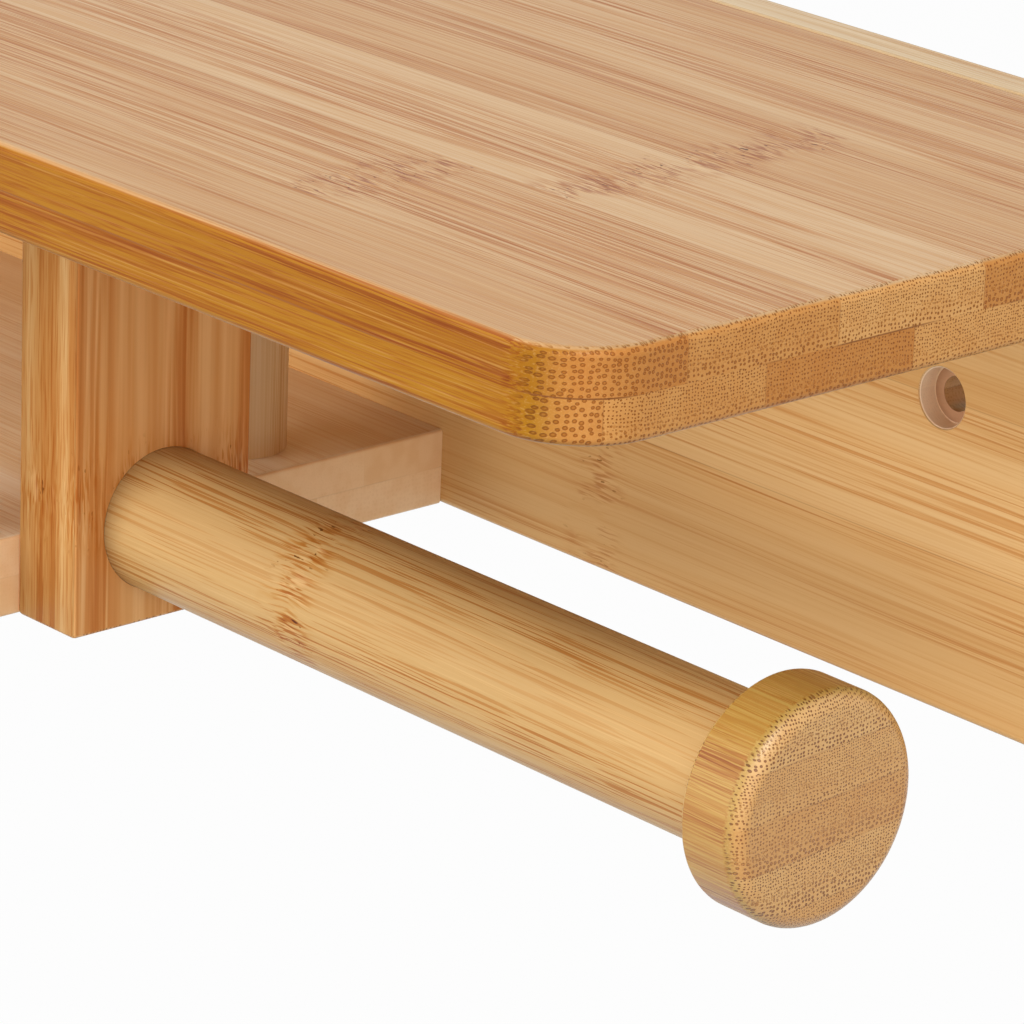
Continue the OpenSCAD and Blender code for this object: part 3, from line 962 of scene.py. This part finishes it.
def wood_screw(name, long, head):
    """Countersunk wood screw along Z, head up at the origin: cross recess, plain neck, thread and point"""
    s = bpy.context.scene.holder_sizes
    outer = s.shank / 2
    core = outer - s.thread_deep
    head_h = (head - s.shank) / 2
    rim = 0.1 * head_h
    neck = 0.8 * outer
    neck_long = 0.8 * s.shank
    point = 2 * s.shank
    outline = [
        (-long, 0.1 * core),
        (-long + point, core),
        (-head_h - s.shank, core),
        (-head_h - neck_long, neck),
        (-head_h, outer),
        (-rim, head / 2),
        (0, head / 2),
    ]
    body = turned(name, outline, SCREW_SIDES)
    arm = 0.3 * head
    blade = 0.05 * head
    deep = 0.3 * head
    taper = 0.45
    for x, y in ((arm, blade), (blade, arm)):
        cross = block("recess", Vector((-x, -y, -deep)), Vector((x, y, deep)))
        pick(cross, "FACE", lambda p: all(close(q.z, -deep) for q in p))
        bpy.ops.transform.resize(value=(taper, taper, 1), center_override=(0, 0, -deep))
        bpy.ops.object.mode_set(mode="OBJECT")
        drill(body, cross)
    unthreaded = 2.2 * s.shank
    turns = int((long - head_h - unthreaded) / s.thread_pitch)
    first_turn = -long + 1.2 * s.shank
    slimmer = 0.7
    deselect_all()
    bpy.ops.mesh.primitive_circle_add(
        vertices=3, radius=s.thread_deep, location=(core + 0.3 * s.thread_deep, 0, first_turn),
        rotation=(math.pi / 2, 0, 0))
    thread = keep_place("thread")
    pick(thread, "VERT", lambda p: p[0].x < core)
    bpy.ops.transform.resize(value=(1, 1, slimmer), center_override=(core, 0, first_turn))
    bpy.ops.object.mode_set(mode="OBJECT")
    modify(thread, "SCREW", axis="Z", screw_offset=s.thread_pitch, iterations=turns, steps=20,
           render_steps=20, use_merge_vertices=False)
    pick(thread, "EDGE", lambda p: False)
    bpy.ops.mesh.select_non_manifold()
    bpy.ops.mesh.fill_holes(sides=3)
    bpy.ops.mesh.select_all(action="SELECT")
    bpy.ops.mesh.normals_make_consistent(inside=False)
    bpy.ops.object.mode_set(mode="OBJECT")
    return join(name, [body, thread])


class HOLDER_OT_screws(bpy.types.Operator):
    """Countersunk wood screws in the back board, under the lower shelf and in the post"""

    bl_idname = "holder.add_screws"
    bl_label = "Screws"
    bl_options = {"REGISTER", "UNDO"}

    def execute(self, context):
        steel = zinc_steel()
        for node in ("top_shelf_screws", "lower_shelf_screws", "pillar_screws", "rod_screw"):
            starts, axis, long, head = fasteners(node)
            model = wood_screw(node + "_model", long, head)
            lay(model, Vector((0, 0, 0)), -axis)
            row = [twin(model, node + "_steel", start) for start in starts]
            bpy.data.objects.remove(model)
            settle(join(node + "_steel", row), "screw_steel", steel, node)
        return {"FINISHED"}


def dowel_pin(name, long, wide):
    """Pin along Z with bevelled ends, and a flute at every third of its edges"""
    s = bpy.context.scene.holder_sizes
    radius = wide / 2
    small = radius - s.pin_bevel
    outline = [(0, small), (s.pin_bevel, radius), (long - s.pin_bevel, radius), (long, small)]
    pin = turned(name, outline, PIN_SIDES)
    step = math.tau / PIN_SIDES
    pick(pin, "VERT", lambda p: round(math.atan2(p[0].y, p[0].x) / step) % 3 == 0
         and s.pin_bevel / 2 < p[0].z < long - s.pin_bevel / 2)
    shrink = (radius - s.pin_flute) / radius
    bpy.ops.transform.resize(value=(shrink, shrink, 1), center_override=(0, 0, long / 2))
    bpy.ops.object.mode_set(mode="OBJECT")
    return pin


class HOLDER_OT_pins(bpy.types.Operator):
    """Glued beech pins in the pillars, the post and the knob"""

    bl_idname = "holder.add_pins"
    bl_label = "Pins"
    bl_options = {"REGISTER", "UNDO"}

    def execute(self, context):
        beech = raw_beech()
        for node in ("pillar_pins", "post_top_pins", "post_shelf_pins", "knob_pin"):
            starts, axis, long, wide = fasteners(node)
            model = dowel_pin(node + "_model", long, wide)
            lay(model, Vector((0, 0, 0)), axis)
            row = [twin(model, node + "_beech", start) for start in starts]
            bpy.data.objects.remove(model)
            settle(join(node + "_beech", row), "pin_beech", beech, node)
        return {"FINISHED"}


def softbox(name, direction, away, side, power):
    """Square soft light that shines at the holder from a direction"""
    target = Vector((0.08, -0.07, 0))
    toward = Vector(direction).normalized()
    deselect_all()
    bpy.ops.object.light_add(type="AREA", location=target + away * toward)
    lamp = bpy.context.active_object
    lamp.name = name
    lamp.rotation_mode = "QUATERNION"
    lamp.rotation_quaternion = toward.to_track_quat("Z", "Y")
    lamp.data.size = side
    lamp.data.energy = power
    return lamp


def seen_by_camera(add):
    """1 for a ray that shows something to the camera: straight, mirrored or through glass"""
    path = add("LightPath").outputs
    seen = add("Math", (path["Is Camera Ray"], path["Is Glossy Ray"]), operation="MAXIMUM")
    return add("Math", (seen, path["Is Transmission Ray"]), operation="MAXIMUM")


def pale_floor(name):
    """Floor that shows white to the camera, keeps a share of its shade, and isn't there from below"""
    g = bpy.context.scene.holder_stage
    material, add = new_material(name)
    matt = add("BsdfDiffuse", {"Color": g.floor_shade})
    white = add("Emission", {"Color": linear("#ffffff"), "Strength": 1.0})
    part = add("Math", (seen_by_camera(add), g.floor_white), operation="MULTIPLY")
    lit = add("MixShader", (part, matt, white))
    below = add("NewGeometry").outputs["Backfacing"]
    surface = add("MixShader", (below, lit, add("BsdfTransparent")))
    add("OutputMaterial", (surface,))
    return material


class HOLDER_OT_stage(bpy.types.Operator):
    """Pale floor, soft light, white surroundings and the camera"""

    bl_idname = "holder.add_stage"
    bl_label = "Stage"
    bl_options = {"REGISTER", "UNDO"}

    def execute(self, context):
        g = context.scene.holder_stage
        deselect_all()
        bpy.ops.mesh.primitive_plane_add(size=8, location=(0, 0, CAD_BOX[0].z - g.floor_drop))
        floor = keep_place("pale_floor")
        floor.data.materials.append(pale_floor("Pale floor, matt paint"))

        world = bpy.data.worlds.new("White studio")
        context.scene.world = world
        world.use_nodes = True
        world.node_tree.nodes.clear()
        add = partial(add_node, world.node_tree)
        even = add("Background", {"Color": linear("#fffdf9"), "Strength": g.fill})
        white = add("Background", {"Color": linear("#ffffff"), "Strength": 1.0})
        add("OutputWorld", (add("MixShader", (seen_by_camera(add), even, white)),))

        softbox("key_softbox", direction=(0.62, -0.36, 0.7), away=1.5, side=0.45, power=g.key_power)
        softbox("top_softbox", direction=(-0.2, -0.3, 0.93), away=1.4, side=0.9, power=g.top_power)
        softbox("right_softbox", direction=(0.85, -0.45, 0.3), away=1.6, side=1.4, power=g.right_power)
        left = softbox(
            "left_softbox", direction=(-0.32, -0.88, 0.32), away=1.6, side=1.6, power=g.left_power)
        left.visible_glossy = False

        deselect_all()
        bpy.ops.object.camera_add(location=g.camera_place)
        camera = bpy.context.active_object
        camera.name = "camera"
        flat = math.cos(g.elevation)
        ahead = Vector((
            -math.sin(g.azimuth) * flat,
            math.cos(g.azimuth) * flat,
            -math.sin(g.elevation)))
        camera.rotation_mode = "QUATERNION"
        camera.rotation_quaternion = ahead.to_track_quat("-Z", "Y") @ Quaternion((0, 0, 1), g.roll)
        camera.data.lens = g.lens
        camera.data.sensor_width = 36
        camera.data.clip_start = 0.01
        camera.data.clip_end = 50
        context.scene.camera = camera
        context.scene.view_settings.view_transform = "Standard"
        return {"FINISHED"}


OPERATORS = (
    HOLDER_OT_stage, HOLDER_OT_top_shelf, HOLDER_OT_back_board, HOLDER_OT_lower_shelf, HOLDER_OT_roll_post,
    HOLDER_OT_roll_rod, HOLDER_OT_roll_knob, HOLDER_OT_pillars, HOLDER_OT_screws, HOLDER_OT_pins)


class HOLDER_PT_pieces(bpy.types.Panel):
    """Lists the holder's pieces in the sidebar"""

    bl_idname = "HOLDER_PT_pieces"
    bl_label = "Bamboo Roll Holder"
    bl_space_type = "VIEW_3D"
    bl_region_type = "UI"
    bl_category = "Holder"

    def draw(self, context):
        for operator in OPERATORS:
            self.layout.operator(operator.bl_idname)
        for group in (context.scene.holder_sizes, context.scene.holder_colours, context.scene.holder_stage):
            box = self.layout.box()
            for name in group.__annotations__:
                box.prop(group, name)


CLASSES = (HolderSizes, HolderColours, HolderStage) + OPERATORS + (HOLDER_PT_pieces,)


def register():
    """Adds the classes, and the settings to the scene"""
    for each in CLASSES:
        bpy.utils.register_class(each)
    bpy.types.Scene.holder_sizes = bpy.props.PointerProperty(type=HolderSizes)
    bpy.types.Scene.holder_colours = bpy.props.PointerProperty(type=HolderColours)
    bpy.types.Scene.holder_stage = bpy.props.PointerProperty(type=HolderStage)


def unregister():
    """Takes all that away again"""
    del bpy.types.Scene.holder_stage
    del bpy.types.Scene.holder_colours
    del bpy.types.Scene.holder_sizes
    for each in reversed(CLASSES):
        bpy.utils.unregister_class(each)


def main():
    """Builds the stage and every piece"""
    register()
    bpy.ops.holder.add_stage()
    bpy.ops.holder.add_top_shelf()
    bpy.ops.holder.add_back_board()
    bpy.ops.holder.add_lower_shelf()
    bpy.ops.holder.add_roll_post()
    bpy.ops.holder.add_roll_rod()
    bpy.ops.holder.add_roll_knob()
    bpy.ops.holder.add_pillars()
    bpy.ops.holder.add_screws()
    bpy.ops.holder.add_pins()


if __name__ == "__main__":
    main()
